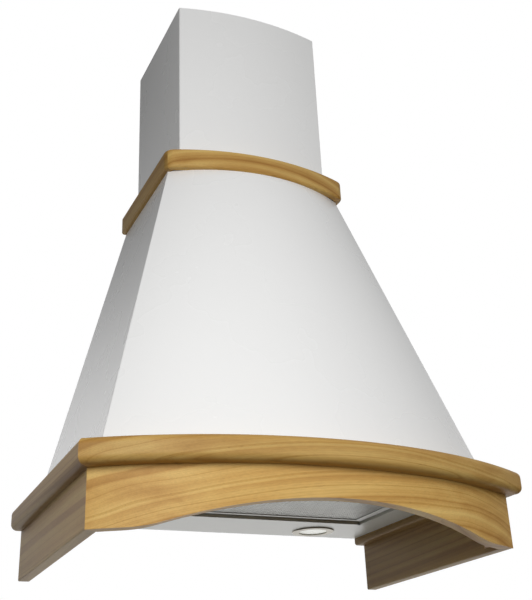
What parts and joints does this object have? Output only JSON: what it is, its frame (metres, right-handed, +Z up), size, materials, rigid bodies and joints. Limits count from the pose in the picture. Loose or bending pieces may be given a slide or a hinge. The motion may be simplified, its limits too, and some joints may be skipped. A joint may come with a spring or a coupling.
{
  "type": "wall-mounted range hood",
  "caption": "Domed wall-mounted range hood in white painted steel with an arched oak apron, an oak cap moulding and an oak collar under a square chimney.",
  "frame": {"origin": "centre of the four wall-fixing holes, on the wall plane", "axes": "+Z up, +Y back to the wall, +X to the right seen from the front"},
  "size_m": [0.6, 0.4589, 0.89],
  "materials": {
    "oak": "clear satin lacquer",
    "beech": "bare",
    "white_paint": "smooth semi-gloss",
    "pale_paint": "satin",
    "galvanised_steel": "galvanised",
    "bright_steel": "zinc plated",
    "aluminium": "mill finish",
    "cast_aluminium": "as cast",
    "satin_nickel": "satin",
    "frosted_glass": "frosted",
    "lamp_glass": "clear",
    "lamp_reflector": "bright reflector",
    "dark_plastic": "moulded",
    "black_plastic": "moulded",
    "grey_plastic": "moulded",
    "button_plastic": "moulded"
  },
  "bodies": {
    "hood": {"cap_front": "oak", "cap_left": "oak", "cap_right": "oak", "frieze_front": "oak", "side_board_left": "oak", "side_board_right": "oak", "board_dowels": "beech", "corner_blocks": "beech", "trim_screws": "bright_steel", "collar_front": "oak", "collar_left": "oak", "collar_right": "oak", "collar_cleats": "galvanised_steel", "collar_screws": "bright_steel", "neck_plate": "white_paint", "dome_shell": "white_paint", "back_plate": "galvanised_steel", "filter_pan": "pale_paint", "lamp_ring_left": "satin_nickel", "lamp_lens_left": "frosted_glass", "lamp_cup_left": "lamp_reflector", "lamp_ring_right": "satin_nickel", "lamp_lens_right": "frosted_glass", "lamp_cup_right": "lamp_reflector", "lamp_bulbs": "lamp_glass", "lamp_clips": "bright_steel", "control_bezel": "grey_plastic", "control_case": "black_plastic", "blower_case_left": "dark_plastic", "blower_case_right": "dark_plastic", "blower_brackets": "galvanised_steel", "blower_screws": "bright_steel", "motor": "cast_aluminium", "motor_bracket": "galvanised_steel", "outlet_spigot": "black_plastic", "flap_pin": "bright_steel", "terminal_box": "black_plastic", "terminal_lid": "black_plastic", "cable_gland": "black_plastic", "capacitor": "cast_aluminium", "capacitor_clip": "galvanised_steel"},
    "chimney": {"chimney_cover": "white_paint", "chimney_bracket": "galvanised_steel"},
    "filter": {"filter_frame": "aluminium", "filter_mesh": "aluminium", "filter_handle": "grey_plastic", "latch_spring": "bright_steel"},
    "latch": {"latch_bolt": "bright_steel"},
    "fan": {"impeller": "galvanised_steel", "impeller_rings": "galvanised_steel", "impeller_blades": "galvanised_steel", "motor_shaft": "bright_steel"},
    "flap_front": {"flap_front": "black_plastic"},
    "flap_rear": {"flap_rear": "black_plastic"},
    "button_1": {"push_button_1": "button_plastic"},
    "button_2": {"push_button_2": "button_plastic"},
    "button_3": {"push_button_3": "button_plastic"},
    "button_4": {"push_button_4": "button_plastic"},
    "button_5": {"push_button_5": "button_plastic"}
  },
  "joints": [
    {"name": "chimney_slide", "type": "slide", "parent": "hood", "child": "chimney", "axis": [0, 0, 1], "range_m": [-0.16, 0.02]},
    {"name": "filter_tilt", "type": "hinge", "parent": "hood", "child": "filter", "pos_m": [0, -0.1082, -0.197], "axis": [1, 0, 0], "range_deg": [0, 80]},
    {"name": "latch_slide", "type": "slide", "parent": "filter", "child": "latch", "axis": [0, 1, 0], "range_m": [0, 0.005], "stiffness_N_per_m": 150, "springref_m": -0.003, "deforming": ["latch_spring"]},
    {"name": "fan_spin", "type": "hinge", "parent": "hood", "child": "fan", "pos_m": [0, -0.184, -0.053], "axis": [1, 0, 0], "continuous": true},
    {"name": "front_flap_hinge", "type": "hinge", "parent": "hood", "child": "flap_front", "pos_m": [0, -0.1215, 0.0817], "axis": [-1, 0, 0], "range_deg": [0, 75]},
    {"name": "rear_flap_hinge", "type": "hinge", "parent": "hood", "child": "flap_rear", "pos_m": [0, -0.1215, 0.0817], "axis": [1, 0, 0], "range_deg": [0, 75]},
    {"name": "button_1_press", "type": "slide", "parent": "hood", "child": "button_1", "axis": [0, 0, 1], "range_m": [0, 0.003], "stiffness_N_per_m": 300, "springref_m": -0.002},
    {"name": "button_2_press", "type": "slide", "parent": "hood", "child": "button_2", "axis": [0, 0, 1], "range_m": [0, 0.003], "stiffness_N_per_m": 300, "springref_m": -0.002},
    {"name": "button_3_press", "type": "slide", "parent": "hood", "child": "button_3", "axis": [0, 0, 1], "range_m": [0, 0.003], "stiffness_N_per_m": 300, "springref_m": -0.002},
    {"name": "button_4_press", "type": "slide", "parent": "hood", "child": "button_4", "axis": [0, 0, 1], "range_m": [0, 0.003], "stiffness_N_per_m": 300, "springref_m": -0.002},
    {"name": "button_5_press", "type": "slide", "parent": "hood", "child": "button_5", "axis": [0, 0, 1], "range_m": [0, 0.003], "stiffness_N_per_m": 300, "springref_m": -0.002}
  ]
}
